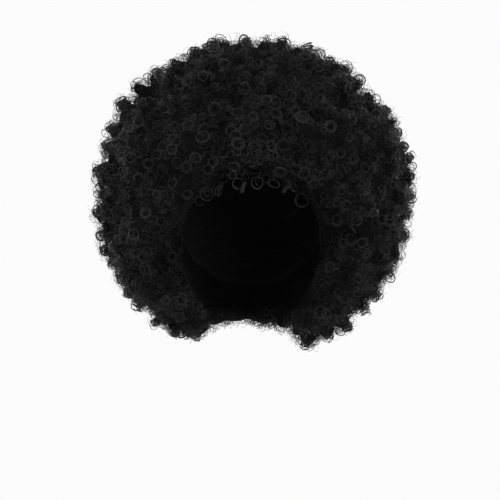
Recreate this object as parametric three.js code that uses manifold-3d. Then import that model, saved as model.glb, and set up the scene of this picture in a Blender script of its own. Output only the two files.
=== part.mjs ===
// An afro wig: a hollow stretch cap that carries a deep, round mass of tightly curled hair.
// Millimetres, +Z up, facing -Y. The origin is the inside of the cap at the top of the head.
import * as THREE from "three";
import { mergeVertices } from "three/addons/utils/BufferGeometryUtils.js";
import Module from "manifold-3d";

const wasm = await Module();
wasm.setup();

// The head that the cap fits
const headBreadth = 152;
const headLength = 192;
const crownRise = 85; // from the head's widest level up to its top
const jawDrop = 125; // from the widest level down to where the head form closes
const neckBreadth = 98;
const neckLength = 112; // front to back
const neckBack = 54; // from the head's axis to the back of the neck

// The cap, and the clearance between it and the hair and between two sections of hair
const capWall = 1.5;
const capDepth = 168; // from the top of the head down to the edge at the nape
const seatGap = 0.3;

// The hair's outline over the tips of its locks
const hairWidth = 324;
const hairDepth = 312;
const hairHeight = 319;
const hairAboveHead = 92.5;
const hairBehindHead = 68;
const hairAside = 3; // the hair's middle lies this far to +X of the head's

// The locks that the outer form is made of
const lockSpacing = 46;
const lockRadius = 29;
const lockRise = 11; // from the mass under the locks to a lock's tip
const lockRoot = 24; // how deep a lock is rooted in the mass
const lockLean = 0.2; // how far, at most, a lock's tip leans off the outline's normal

// The opening for the face, which flares towards the front
const faceBreadth = 140;
const hairlineDrop = 38; // from the top of the head down to the fringe's underside
const templeDrop = 112; // down to where the opening is at its full breadth
const jawLineDrop = 186; // down to where it has narrowed to the neck
const throatForward = 34; // from the head's axis forward to where the flare starts
const foreheadBack = 14; // from the head's front back to where the fringe starts to flare
const cheekFlare = 32; // degrees
const neckFlare = 33;
const fringeLift = 8;
const openingRoundness = 1.9; // exponent of the arch: 2 is an ellipse, more is squarer
const openingRows = 2; // rows of locks on the opening's wall
const openingLocksPerRow = 13; // from the neck on one side over the forehead to the other
const jawShare = 0.18; // the share of a row that runs beside the jaw, on each side

// The ringlets that hang from the fringe over the forehead
const ringletRadius = 6;
const ringletLength = 26;
const ringletForward = 8; // from the forehead to a ringlet's axis

// How the hair is divided into sections
const crownAngle = 43; // degrees from upright to the crown section's seam
const fringeAngle = 36; // degrees from the front to the fringe's seams
const sideAngle = 128; // degrees from the front to the back section's seams

// How finely the faceted surfaces are cut
const capColumns = 44;
const capRings = 7;
const jawRings = 3; // rings of the head form below the cap's edge
const massColumns = 24;
const massRings = 14;
const lockSides = 6;
const archPoints = 13;

// The cap's edge: degrees from the front, and depth below the top as a share of capDepth
const capEdge = [
  { azimuth: 0, depth: 0.235 },
  { azimuth: 28, depth: 0.25 },
  { azimuth: 48, depth: 0.34 },
  { azimuth: 60, depth: 0.54 },
  { azimuth: 68, depth: 0.72 },
  { azimuth: 78, depth: 0.75 },
  { azimuth: 90, depth: 0.63 },
  { azimuth: 104, depth: 0.66 },
  { azimuth: 126, depth: 0.85 },
  { azimuth: 152, depth: 0.97 },
  { azimuth: 180, depth: 1 },
];

// Ringlets over the forehead: place across as a share of half the face opening, the share of
// ringletLength that hangs free, and lean to the side in degrees
const ringlets = [
  { across: -0.66, hang: 0.46, lean: 14 },
  { across: -0.46, hang: 0.6, lean: -30 },
  { across: -0.2, hang: 0.66, lean: 24 },
  { across: 0.06, hang: 0.52, lean: 0 },
  { across: 0.26, hang: 0.56, lean: -14 },
  { across: 0.46, hang: 0.6, lean: 22 },
  { across: 0.66, hang: 0.52, lean: -10 },
];

const hairCentre = new THREE.Vector3(
  hairAside,
  headLength / 2 + hairBehindHead - hairDepth / 2,
  hairAboveHead - hairHeight / 2,
);
const massHalf = new THREE.Vector3(
  hairWidth / 2 - lockRise,
  hairDepth / 2 - lockRise,
  hairHeight / 2 - lockRise,
);
const farAway = hairWidth + hairDepth + hairHeight; // past every outline
const neckCentre = neckBack - neckLength / 2;
const toRadians = THREE.MathUtils.degToRad;

// A repeatable number from 0 to 1 for item i and purpose k.
function scatter(i, k) {
  const wave = Math.sin(i * 12.9898 + k * 78.233) * 43758.5453;
  return wave - Math.floor(wave);
}

// The value of a column of a table at x, eased from row to row.
function eased(table, at, column, x) {
  const next = Math.max(1, table.findIndex((row) => row[at] >= x));
  const [low, high] = [table[next - 1], table[next]];
  const t = (x - low[at]) / (high[at] - low[at]);
  return low[column] + (high[column] - low[column]) * t * t * (3 - 2 * t);
}

// A closed surface through rings of points, from one pole to the other. Seen from outside the
// first pole, each ring runs anticlockwise.
function closedSkin(firstPole, rings, lastPole) {
  const columns = rings[0].length;
  const points = [firstPole, ...rings.flat(), lastPole];
  const last = points.length - 1;
  const at = (ring, column) => 1 + ring * columns + (column % columns);
  const faces = [];
  for (let j = 0; j < columns; j++) {
    faces.push(0, at(0, j), at(0, j + 1));
    for (let i = 0; i + 1 < rings.length; i++) {
      faces.push(at(i, j), at(i + 1, j), at(i + 1, j + 1));
      faces.push(at(i, j), at(i + 1, j + 1), at(i, j + 1));
    }
    faces.push(at(rings.length - 1, j), last, at(rings.length - 1, j + 1));
  }
  return new THREE.BufferGeometry().setFromPoints(points).setIndex(faces);
}

// A closed geometry as a solid that can be joined and cut.
function solidOf(geometry) {
  const bare = geometry.clone();
  bare.deleteAttribute("normal");
  bare.deleteAttribute("uv");
  const merged = mergeVertices(bare, 1e-4);
  const index = merged.index.array;
  const triangles = [];
  for (let i = 0; i < index.length; i += 3) {
    const [a, b, c] = index.slice(i, i + 3);
    if (a !== b && b !== c && c !== a) triangles.push(a, b, c);
  }
  return new wasm.Manifold(
    new wasm.Mesh({
      numProp: 3,
      vertProperties: new Float32Array(merged.attributes.position.array),
      triVerts: new Uint32Array(triangles),
    }),
  );
}

// A solid back as a geometry with flat faces.
function geometryOf(solid) {
  const mesh = solid.getMesh();
  const geometry = new THREE.BufferGeometry()
    .setAttribute("position", new THREE.BufferAttribute(mesh.vertProperties, mesh.numProp))
    .setIndex(new THREE.BufferAttribute(mesh.triVerts, 1))
    .toNonIndexed();
  geometry.computeVertexNormals();
  return geometry;
}

// A point on the head form: azimuth from the front, polar angle from the top, both in
// radians, moved out by offset. Two half ellipsoids share the widest section.
function headPoint(azimuth, polar, offset) {
  const half = new THREE.Vector3(
    headBreadth / 2,
    headLength / 2,
    polar < Math.PI / 2 ? crownRise : jawDrop,
  );
  const unit = new THREE.Vector3(
    Math.sin(polar) * Math.sin(azimuth),
    -Math.sin(polar) * Math.cos(azimuth),
    Math.cos(polar),
  );
  const normal = unit.clone().divide(half).normalize();
  const point = unit.clone().multiply(half).addScaledVector(normal, offset);
  point.z -= crownRise;
  return point;
}

// The polar angle at which the cap ends, at an azimuth in radians.
function edgePolar(azimuth) {
  const turn = THREE.MathUtils.radToDeg(azimuth);
  const depth = capDepth * eased(capEdge, "azimuth", "depth", Math.min(turn, 360 - turn));
  const level = crownRise - depth;
  return Math.acos(level / (level > 0 ? crownRise : jawDrop));
}

// Rings of the head form's skin from the top down to the cap's edge, moved out by offset, and
// beyond the edge to the form's closed bottom if wanted. Both follow one grid, so two skins of
// different offset stay parallel.
function headRings(offset, beyondEdge) {
  const rings = [];
  const total = capRings + (beyondEdge ? jawRings - 1 : 0);
  for (let i = 1; i <= total; i++) {
    const ring = [];
    for (let j = 0; j < capColumns; j++) {
      const azimuth = (2 * Math.PI * j) / capColumns;
      const edge = edgePolar(azimuth);
      const polar =
        i <= capRings
          ? (edge * i) / capRings
          : edge + ((Math.PI - edge) * (i - capRings)) / jawRings;
      ring.push(headPoint(azimuth, polar, offset));
    }
    rings.push(ring);
  }
  return rings;
}

function capSolid() {
  const outside = headRings(capWall, false);
  const inside = headRings(0, false).reverse();
  const top = headPoint(0, 0, capWall);
  return solidOf(closedSkin(top, [...outside, ...inside], headPoint(0, 0, 0)));
}

// The hollow that the capped head fills.
function headHollow() {
  const offset = capWall + seatGap;
  const rings = headRings(offset, true);
  return solidOf(closedSkin(headPoint(0, 0, offset), rings, headPoint(0, Math.PI, offset)));
}

// The way down for the neck.
function neckHollow() {
  const neck = new THREE.CylinderGeometry(1, 1, farAway, 28);
  neck.rotateX(Math.PI / 2);
  neck.scale(neckBreadth / 2 + seatGap, neckLength / 2 + seatGap, 1);
  neck.translate(0, neckCentre, -templeDrop - farAway / 2);
  return solidOf(neck);
}

// How far forward the opening starts to flare: at the throat on the cheeks, and at the
// forehead under the fringe. Turn goes from 0 at one temple over the top to pi at the other.
function flareStart(turn) {
  return throatForward + (headLength / 2 - foreheadBack - throatForward) * Math.sin(turn);
}

// A point of the opening's arch, forward of the head's axis.
function archPoint(forward, turn) {
  const flared = Math.max(0, forward - flareStart(turn));
  const half = faceBreadth / 2 + flared * Math.tan(toRadians(cheekFlare));
  const rise = templeDrop - hairlineDrop + flared * Math.tan(toRadians(fringeLift));
  const round = (x) => Math.sign(x) * Math.abs(x) ** (2 / openingRoundness);
  return new THREE.Vector3(
    -half * round(Math.cos(turn)),
    -forward,
    -templeDrop + rise * round(Math.sin(turn)),
  );
}

// Half the opening's breadth beside the neck.
function throatHalf(forward) {
  const along = (throatForward + neckCentre) / (neckLength / 2);
  const flared = Math.max(0, forward - throatForward);
  return (neckBreadth / 2) * Math.sqrt(1 - along ** 2) + flared * Math.tan(toRadians(neckFlare));
}

// The opening's outline, from the neck on one side over the forehead to the other side.
function openingRing(forwardAt) {
  const arch = [];
  for (let k = 0; k < archPoints; k++) {
    const turn = (Math.PI * k) / (archPoints - 1);
    arch.push(archPoint(forwardAt(turn), turn));
  }
  const forward = forwardAt(0);
  const side = (sign) => [
    new THREE.Vector3(sign * throatHalf(forward), -forward, -farAway),
    new THREE.Vector3(sign * throatHalf(forward), -forward, -jawLineDrop),
  ];
  return [...side(-1), ...arch, ...side(1).reverse()];
}

function faceHollow() {
  const behind = throatForward - seatGap;
  const rings = [() => behind, flareStart, () => farAway].map(openingRing);
  const pole = (forward) => new THREE.Vector3(0, -forward, -templeDrop);
  return solidOf(closedSkin(pole(behind), rings, pole(farAway)));
}

// Whether a point lies in the face opening or the way for the neck, grown by margin.
function isOpen(point, margin) {
  const above = Math.max(0, point.z + templeDrop);
  const edge = archPoint(-point.y, Math.atan2(above, -point.x));
  const archReach = Math.hypot(edge.x, edge.z + templeDrop);
  const lower = THREE.MathUtils.smoothstep(-point.z, templeDrop, jawLineDrop);
  const reach = THREE.MathUtils.lerp(archReach, throatHalf(-point.y), lower) + margin;
  const inFace = -point.y > throatForward && Math.hypot(point.x, above) < reach;
  const acrossNeck = point.x / (neckBreadth / 2 + margin);
  const alongNeck = (point.y - neckCentre) / (neckLength / 2 + margin);
  const inNeck = point.z < -templeDrop && Math.hypot(acrossNeck, alongNeck) < 1;
  return inFace || inNeck;
}

// One lock: a rounded, tapering body rooted in the mass, its tip at rise above its place.
function lockAt(place, direction, radius, rise) {
  const profile = [
    new THREE.Vector2(0, -lockRoot),
    new THREE.Vector2(radius, -rise * 1.05),
    new THREE.Vector2(radius * 0.56, rise * 0.64),
    new THREE.Vector2(0, rise),
  ];
  const lock = new THREE.LatheGeometry(profile, lockSides);
  lock.rotateY(place.x + place.y + place.z);
  const turn = new THREE.Quaternion().setFromUnitVectors(new THREE.Vector3(0, 1, 0), direction);
  lock.applyQuaternion(turn);
  lock.translate(place.x, place.y, place.z);
  return { place, solid: solidOf(lock) };
}

// Locks spread evenly over the outline, leaning and varying in size, larger low down.
function outlineLocks() {
  const area = 4 * Math.PI * ((massHalf.x + massHalf.y + massHalf.z) / 3) ** 2;
  const count = Math.round(area / (lockSpacing ** 2 * Math.sin(Math.PI / 3)));
  const goldenTurn = Math.PI * (3 - Math.sqrt(5));
  const locks = [];
  for (let i = 0; i < count; i++) {
    const height = 1 - (2 * i + 1) / count;
    const ring = Math.sqrt(1 - height * height);
    const turn = i * goldenTurn + 0.3 * (scatter(i, 1) - 0.5);
    const unit = new THREE.Vector3(ring * Math.cos(turn), ring * Math.sin(turn), height);
    const place = unit.clone().multiply(massHalf).add(hairCentre);
    const lean = new THREE.Vector3(scatter(i, 2), scatter(i, 3), scatter(i, 4));
    lean.subScalar(0.5).multiplyScalar(2 * lockLean);
    const direction = unit.clone().divide(massHalf).normalize().add(lean).normalize();
    if (isOpen(place, lockRise)) continue;
    const radius = lockRadius * (0.92 + 0.24 * scatter(i, 5) - 0.1 * height);
    locks.push(lockAt(place, direction, radius, lockRise * (0.7 + 0.3 * scatter(i, 6))));
  }
  return locks;
}

// A point of the opening's wall: along from 0 beside the neck over the forehead to 1.
function wallPoint(forward, along) {
  if (along < jawShare || along > 1 - jawShare) {
    const turn = along < jawShare ? 0 : Math.PI;
    const temple = archPoint(forward, turn);
    const neck = new THREE.Vector3(Math.sign(temple.x) * throatHalf(forward), -forward, -jawLineDrop);
    return neck.lerp(temple, Math.min(along, 1 - along) / jawShare);
  }
  return archPoint(forward, (Math.PI * (along - jawShare)) / (1 - 2 * jawShare));
}

// Locks on the flaring wall of the face opening, leaning forward and out of it.
function openingLocks() {
  const locks = [];
  for (let row = 0; row < openingRows; row++) {
    const forward = throatForward + lockSpacing * (0.8 + 0.75 * row);
    for (let k = 0; k < openingLocksPerRow - row; k++) {
      const along = (k + 0.25 + 0.5 * row) / (openingLocksPerRow - 0.5);
      const place = wallPoint(forward, along);
      const inward = new THREE.Vector3(-place.x, 0, Math.min(0, -templeDrop - place.z)).normalize();
      place.addScaledVector(inward, -lockRise);
      if (place.clone().sub(hairCentre).divide(massHalf).length() > 1) continue;
      const i = row * openingLocksPerRow + k;
      const direction = new THREE.Vector3(scatter(i, 7) - 0.5, -1, 0).addScaledVector(inward, 0.6);
      const radius = lockRadius * (0.7 + 0.3 * scatter(i, 8));
      locks.push(lockAt(place, direction.normalize(), radius, lockRise * 1.8));
    }
  }
  return locks;
}

// Ringlets that hang from the fringe in front of the forehead, rooted in its underside.
function fringeRinglets() {
  return ringlets.map(({ across, hang, lean }) => {
    const x = (across * faceBreadth) / 2;
    const forehead = headPoint(Math.asin(x / (headBreadth / 2)), edgePolar(0), capWall);
    const forward = ringletForward - forehead.y;
    const underside = archPoint(forward, Math.acos(-across)).z;
    const ringlet = new THREE.CapsuleGeometry(ringletRadius, ringletLength - 2 * ringletRadius, 2, 7);
    ringlet.translate(0, -ringletLength / 2, 0);
    ringlet.rotateZ(toRadians(lean));
    const place = new THREE.Vector3(x, -forward, underside + ringletLength * (1 - hang));
    ringlet.translate(place.x, place.y, place.z);
    return { place, solid: solidOf(ringlet) };
  });
}

// The mass of hair under the locks, open for the face.
function massUnderLocks() {
  const ball = new THREE.SphereGeometry(1, massColumns, massRings);
  ball.rotateX(Math.PI / 2);
  ball.scale(massHalf.x, massHalf.y, massHalf.z);
  ball.translate(hairCentre.x, hairCentre.y, hairCentre.z);
  return solidOf(ball).subtract(faceHollow());
}

// An upward cone about the head's axis. Shift moves its surface in, or out if negative.
function crownCone(shift) {
  const ring = [];
  for (let j = 0; j < capColumns; j++) {
    const turn = (2 * Math.PI * j) / capColumns;
    const radius = farAway * Math.tan(toRadians(crownAngle));
    ring.push(new THREE.Vector3(radius * Math.cos(turn), radius * Math.sin(turn), farAway));
  }
  const apex = new THREE.Vector3(0, 0, 0);
  const cone = closedSkin(new THREE.Vector3(0, 0, farAway), [ring], apex);
  cone.translate(0, 0, -crownRise + shift / Math.sin(toRadians(crownAngle)));
  return solidOf(cone);
}

// An upright wedge about the head's axis between two azimuths in degrees, its faces moved in
// by half the gap.
function sectorWedge(from, to) {
  const along = (degrees) =>
    new THREE.Vector2(Math.sin(toRadians(degrees)), -Math.cos(toRadians(degrees)));
  const inset = seatGap / 2 / Math.sin(toRadians((to - from) / 2));
  const tip = along((from + to) / 2).multiplyScalar(inset);
  const corners = [
    tip,
    tip.clone().addScaledVector(along(from), 2 * farAway),
    tip.clone().addScaledVector(along(to), 2 * farAway),
  ];
  const wedge = new THREE.ExtrudeGeometry(new THREE.Shape(corners), {
    depth: 2 * farAway,
    bevelEnabled: false,
  });
  wedge.translate(0, 0, -farAway);
  return solidOf(wedge);
}

// The name of the section that a lock grows in.
function sectionOf(place) {
  const out = Math.hypot(place.x, place.y);
  if (out < (place.z + crownRise) * Math.tan(toRadians(crownAngle))) return "hair_crown";
  const azimuth = THREE.MathUtils.radToDeg(Math.atan2(place.x, -place.y));
  if (Math.abs(azimuth) < fringeAngle) return "hair_fringe";
  if (Math.abs(azimuth) > sideAngle) return "hair_back";
  return azimuth > 0 ? "hair_left" : "hair_right";
}

// Each section of the hair: its share of the mass and the locks that grow in it, kept within
// its seams and clear of the head.
function hairSections() {
  const mass = massUnderLocks();
  const locks = [...outlineLocks(), ...openingLocks(), ...fringeRinglets()];
  const hollow = headHollow().add(neckHollow());
  const grown = (name) =>
    locks
      .filter((lock) => sectionOf(lock.place) === name)
      .reduce((sum, lock) => sum.add(lock.solid), mass)
      .subtract(hollow);
  const aboveSeam = crownCone(seatGap / 2);
  const belowSeam = crownCone(-seatGap / 2);
  const below = (name, from, to) => grown(name).subtract(belowSeam).intersect(sectorWedge(from, to));
  return {
    hair_crown: grown("hair_crown").intersect(aboveSeam),
    hair_fringe: below("hair_fringe", -fringeAngle, fringeAngle),
    hair_left: below("hair_left", fringeAngle, sideAngle),
    hair_back: below("hair_back", sideAngle, 360 - sideAngle),
    hair_right: below("hair_right", 360 - sideAngle, 360 - fringeAngle),
  };
}

const capMaterial = new THREE.MeshStandardMaterial({
  color: 0x1b1a19,
  roughness: 0.85,
  metalness: 0,
});
const hairMaterial = new THREE.MeshStandardMaterial({
  color: 0x171615,
  roughness: 0.6,
  metalness: 0,
});

const wig = new THREE.Group();

function addPiece(name, solid, material) {
  const mesh = new THREE.Mesh(geometryOf(solid), material);
  mesh.name = name;
  wig.add(mesh);
}

addPiece("cap", capSolid(), capMaterial);
for (const [name, solid] of Object.entries(hairSections())) {
  addPiece(name, solid, hairMaterial);
}

export default wig;
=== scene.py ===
import math
import random

import bmesh
import bpy
import numpy as np
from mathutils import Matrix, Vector, noise
from mathutils.bvhtree import BVHTree


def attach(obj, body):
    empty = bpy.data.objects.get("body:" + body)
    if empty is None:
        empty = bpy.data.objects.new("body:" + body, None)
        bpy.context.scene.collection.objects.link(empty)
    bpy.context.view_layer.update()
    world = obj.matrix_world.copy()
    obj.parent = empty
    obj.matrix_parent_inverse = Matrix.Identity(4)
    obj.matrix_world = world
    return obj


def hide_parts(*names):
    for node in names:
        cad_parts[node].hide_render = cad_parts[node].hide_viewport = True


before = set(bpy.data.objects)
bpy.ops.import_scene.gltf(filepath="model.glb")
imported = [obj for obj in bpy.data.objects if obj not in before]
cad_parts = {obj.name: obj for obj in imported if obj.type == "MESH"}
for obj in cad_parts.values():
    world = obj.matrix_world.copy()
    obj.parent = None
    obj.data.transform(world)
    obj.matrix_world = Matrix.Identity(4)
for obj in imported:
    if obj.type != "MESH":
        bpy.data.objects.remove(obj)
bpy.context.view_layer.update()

mm = 0.001
hairNodes = ["hair_crown", "hair_fringe", "hair_left", "hair_right", "hair_back"]

# The head that the cap fits, as in the solids
head = {
    "breadth": 152 * mm,
    "length": 192 * mm,
    "crownRise": 85 * mm,  # widest level up to the top
    "jawDrop": 125 * mm,  # widest level down to where the form closes
    "neckBreadth": 98 * mm,
    "neckLength": 112 * mm,
    "neckCentre": -2 * mm,
}


# Small helpers

def toLinear(hexColour):
    channels = [int(hexColour[i:i + 2], 16) / 255 for i in (1, 3, 5)]
    return [c / 12.92 if c <= 0.04045 else ((c + 0.055) / 1.055) ** 2.4 for c in channels] + [1.0]


def smoothStep(low, high, x):
    t = np.clip((x - low) / (high - low), 0, 1)
    return t * t * (3 - 2 * t)


# Adds a node: settings are its attributes, values fill sockets, and links join (node, output) to sockets.
def addNode(tree, kind, settings=None, values=None, links=None):
    node = tree.nodes.new(kind)
    for name, value in (settings or {}).items():
        setattr(node, name, value)
    for socket, value in (values or {}).items():
        node.inputs[socket].default_value = value
    for socket, source in (links or {}).items():
        tree.links.new(source[0].outputs[source[1]], node.inputs[socket])
    return node


def newObject(name, data):
    made = bpy.data.objects.new(name, data)
    bpy.context.scene.collection.objects.link(made)
    return made


def meshFrom(name, points, faces):
    mesh = bpy.data.meshes.new(name)
    mesh.from_pydata([tuple(p) for p in points], [], faces)
    mesh.update()
    mesh.shade_smooth()
    return mesh


# The object's mesh with its modifiers applied, as a new object.
def evaluated(source, name):
    graph = bpy.context.evaluated_depsgraph_get()
    mesh = bpy.data.meshes.new_from_object(source.evaluated_get(graph), depsgraph=graph)
    mesh.name = name
    return newObject(name, mesh)


# One field of three numbers, read from all of a mesh's vertices or normals: a row for each.
def vertexRows(items, field):
    flat = np.empty(len(items) * 3)
    items.foreach_get(field, flat)
    return flat.reshape(-1, 3)


# Each piece rides the wig's one body and shows in place of the solids named.
def finishPiece(piece, slotName, *nodes):
    print(piece.name, sum(len(face.vertices) - 2 for face in piece.data.polygons), "triangles")
    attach(piece, "root")
    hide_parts(*nodes)


# Every random number comes from here, and the order of the draws decides the shapes. The strands' bends
# need the second line, without which noise_vector differs at every run
chance = random.Random(5)
noise.seed_set(5)


def eitherWay(amount):
    return chance.uniform(-amount, amount)


def anyAngle():
    return chance.uniform(0, 360)


def slightly(amount):
    return Vector(eitherWay(amount) for i in range(3))


# Camera, light and floor
print("stage")

view = {
    "centre": Vector((0, 12 * mm, -67 * mm)),  # middle of the hair
    "distance": 1500 * mm,
    "aside": -1 * mm,
    "above": 4.5,  # degrees that the camera stands above the hair's middle
    "aimBelow": 2.12,  # degrees: the hair sits above the middle of the frame
    "lens": 107.1,
    "sensor": 36,
    "photo": 500,  # breadth and height of the photograph that places below are read from
}


def makeCamera():
    camera = newObject("camera", bpy.data.cameras.new("camera"))
    camera.data.lens = view["lens"]
    camera.data.sensor_width = view["sensor"]
    rise = math.radians(view["above"])
    back = Vector((0, -math.cos(rise), math.sin(rise)))
    camera.location = view["centre"] + back * view["distance"] + Vector((view["aside"], 0, 0))
    camera.rotation_euler = (math.radians(90 - view["above"] - view["aimBelow"]), 0, 0)
    bpy.context.scene.camera = camera


# The line of sight through a place in the photograph: a start and a direction.
def lineOfSight(across, down):
    camera, size = bpy.context.scene.camera, view["photo"]
    ahead = -camera.data.lens / camera.data.sensor_width
    way = Vector(((across - size / 2) / size, (size / 2 - down) / size, ahead))
    return camera.location.copy(), (camera.rotation_euler.to_matrix() @ way).normalized()


# The point on that line at the depth of the hair's middle, or so much beyond it.
def inThePicture(across, down, beyond):
    start, way = lineOfSight(across, down)
    return start + way * ((view["centre"] - start).dot(way) + beyond)


studio = {
    "surround": 0.27,  # strength of the light from all round
    "paper": "#d8d8d8",
    "paperSeen": "#fcfcfc",
    "floorDepth": -0.62,
    "floorReach": 30,
    # Name, place, what it points at, breadth and height, and watts
    "softBoxes": [
        ("key", (-0.9, -1.6, 1.3), (0, 0, -0.05), (1.1, 1.1), 31),
        ("fill", (1.3, -1.5, 0.1), (0, 0, -0.06), (1.0, 0.8), 20),
        ("top", (0, 0.45, 1.6), (0, 0, 0), (1.4, 1.4), 15),
        ("rim_left", (-1.15, 1.6, 0.1), (0, 0, -0.05), (0.8, 1.2), 36),
        ("rim_right", (1.15, 1.6, 0.1), (0, 0, -0.05), (0.8, 1.2), 36),
    ],
}


# Plain white paper and surround: the camera sees them white, and the hair gets only part of their light.
def whitePaper(tree, surfaceOutput, dim):
    seen = addNode(tree, "ShaderNodeLightPath")
    bright = addNode(tree, "ShaderNodeEmission",
                     values={"Color": toLinear(studio["paperSeen"]), "Strength": 1.0})
    both = addNode(tree, "ShaderNodeMixShader",
                   links={0: (seen, "Is Camera Ray"), 1: (dim, 0), 2: (bright, 0)})
    tree.links.new(both.outputs[0], surfaceOutput)


def makeFloor():
    paper = bpy.data.materials.new("studio paper, matt white")
    paper.use_nodes = True
    tree = paper.node_tree
    shader = tree.nodes["Principled BSDF"]
    shader.inputs["Base Color"].default_value = toLinear(studio["paper"])
    shader.inputs["Roughness"].default_value = 0.9
    whitePaper(tree, tree.nodes["Material Output"].inputs["Surface"], shader)
    half, depth = studio["floorReach"], studio["floorDepth"]
    corners = [(-half, -half, depth), (half, -half, depth), (half, half, depth), (-half, half, depth)]
    floor = newObject("floor", meshFrom("floor", corners, [(0, 1, 2, 3)]))
    floor.data.materials.append(paper)


def makeSurround():
    world = bpy.data.worlds.new("studio")
    bpy.context.scene.world = world
    world.use_nodes = True
    tree = world.node_tree
    surround = tree.nodes["Background"]
    surround.inputs["Color"].default_value = toLinear("#ffffff")
    surround.inputs["Strength"].default_value = studio["surround"]
    whitePaper(tree, tree.nodes["World Output"].inputs["Surface"], surround)
    bpy.context.scene.view_settings.view_transform = "Standard"


def makeSoftBoxes():
    for name, place, target, size, watts in studio["softBoxes"]:
        lamp = bpy.data.lights.new(name, "AREA")
        lamp.shape = "RECTANGLE"
        lamp.size, lamp.size_y = size
        lamp.energy = watts
        made = newObject(name, lamp)
        made.location = place
        made.rotation_euler = (Vector(target) - Vector(place)).to_track_quat("-Z", "Y").to_euler()


makeCamera()
makeFloor()
makeSurround()
makeSoftBoxes()


# Materials
print("materials")

# Modacrylic fibre dyed black in the mass: each set's darkest and lightest tone, where these stand on the
# ramp between them, its roughness and gloss, and how far it falls to the dark tone in the creases: painted
# shade
fibres = {
    "ringlets": {
        "shade": "#0a0a0c", "lit": "#25262a", "stops": (0.37, 0.55), "roughness": 0.55, "gloss": 0.3,
        "paintedCreaseShade": 0.1},
    "curls": {
        "shade": "#040403", "lit": "#272727", "stops": (0.37, 0.55), "roughness": 0.6, "gloss": 0.25,
        "paintedCreaseShade": 0.16},
    # The packed fibre's darker tones are painted shade for the depth of the hair; its crossing hairs are its
    # own pattern
    "packed": {
        "shade": "#030303", "lit": "#1a1918", "stops": (0.05, 0.7), "roughness": 0.85, "gloss": 0.08,
        "hairs": ((7 * mm, 75), (3.5 * mm, 34)),  # two layers: breadth of the bends, and lines across one
        "relief": 0.6 * mm},
}
toneSize = 26 * mm  # breadth of the lighter and darker patches


def fibreShader(name, tones):
    material = bpy.data.materials.new(name)
    material.use_nodes = True
    shader = material.node_tree.nodes["Principled BSDF"]
    shader.inputs["Roughness"].default_value = tones["roughness"]
    shader.inputs["IOR"].default_value = 1.5
    shader.inputs["Specular IOR Level"].default_value = tones["gloss"]
    return material, material.node_tree, shader


# Gives a colour ramp its two tones and the shader their colour.
def setTones(ramp, tones, tree, shader):
    for stop, place, tone in zip(ramp.color_ramp.elements, tones["stops"], (tones["shade"], tones["lit"])):
        stop.position = place
        stop.color = toLinear(tone)
    tree.links.new(ramp.outputs["Color"], shader.inputs["Base Color"])


# Fine fibre set in ringlets: near black, each strand with a soft glint along it.
def spunFibre(name, tones):
    material, tree, shader = fibreShader(name, tones)
    place = addNode(tree, "ShaderNodeTexCoord")
    tone = addNode(tree, "ShaderNodeTexNoise", values={"Scale": 1 / toneSize, "Detail": 3},
                   links={"Vector": (place, "Object")})
    # Painted shade: the tone falls towards the dark one by the depth of the crease that the strand grew in
    crease = addNode(tree, "ShaderNodeAttribute", {"attribute_name": "crease"})
    paintedShade = addNode(tree, "ShaderNodeMath", {"operation": "MULTIPLY"}, {1: tones["paintedCreaseShade"]},
                     {0: (crease, "Fac")})
    level = addNode(tree, "ShaderNodeMath", {"operation": "SUBTRACT"},
                    links={0: (tone, "Fac"), 1: (paintedShade, 0)})
    ramp = addNode(tree, "ShaderNodeValToRGB", links={"Fac": (level, 0)})
    setTones(ramp, tones, tree, shader)
    return material


# The depth of the hair, seen between the ringlets: fine hairs crossing each other, almost without gloss.
def packedFibreInShade(name, tones):
    material, tree, shader = fibreShader(name, tones)
    place = addNode(tree, "ShaderNodeTexCoord")
    layers = []
    for size, lines in tones["hairs"]:
        bends = addNode(tree, "ShaderNodeTexNoise",
                        values={"Scale": 1 / size, "Detail": 1, "Distortion": 0.8},
                        links={"Vector": (place, "Object")})
        level = addNode(tree, "ShaderNodeMath", {"operation": "MULTIPLY"}, {1: lines}, {0: (bends, "Fac")})
        wave = addNode(tree, "ShaderNodeMath", {"operation": "SINE"}, links={0: (level, 0)})
        layers.append(addNode(tree, "ShaderNodeMapRange", values={"From Min": 0.1, "From Max": 1.0},
                              links={"Value": (wave, 0)}))
    crossing = addNode(tree, "ShaderNodeMath", {"operation": "MAXIMUM"},
                       links={0: (layers[0], 0), 1: (layers[1], 0)})
    bump = addNode(tree, "ShaderNodeBump", values={"Strength": 1, "Distance": tones["relief"]},
                   links={"Height": (crossing, 0)})
    tree.links.new(bump.outputs["Normal"], shader.inputs["Normal"])
    patches = addNode(tree, "ShaderNodeTexNoise", values={"Scale": 1 / toneSize, "Detail": 1},
                      links={"Vector": (place, "Object")})
    depth = addNode(tree, "ShaderNodeMath", {"operation": "MULTIPLY"},
                    links={0: (crossing, 0), 1: (patches, "Fac")})
    # Painted shade: the whole ramp sits darker than the loose strands' to stand for the shade deep in the
    # hair
    ramp = addNode(tree, "ShaderNodeValToRGB", links={"Fac": (depth, 0)})
    setTones(ramp, tones, tree, shader)
    return material


ringletFibre = spunFibre("modacrylic fibre, heat-set ringlets", fibres["ringlets"])
curlFibre = spunFibre("modacrylic fibre, brushed-out curls", fibres["curls"])
massFibre = packedFibreInShade("modacrylic fibre, packed curls", fibres["packed"])


# The mass of the hair: all the sections' solids run together and raised in rounded clumps
print("hair mass")

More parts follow.
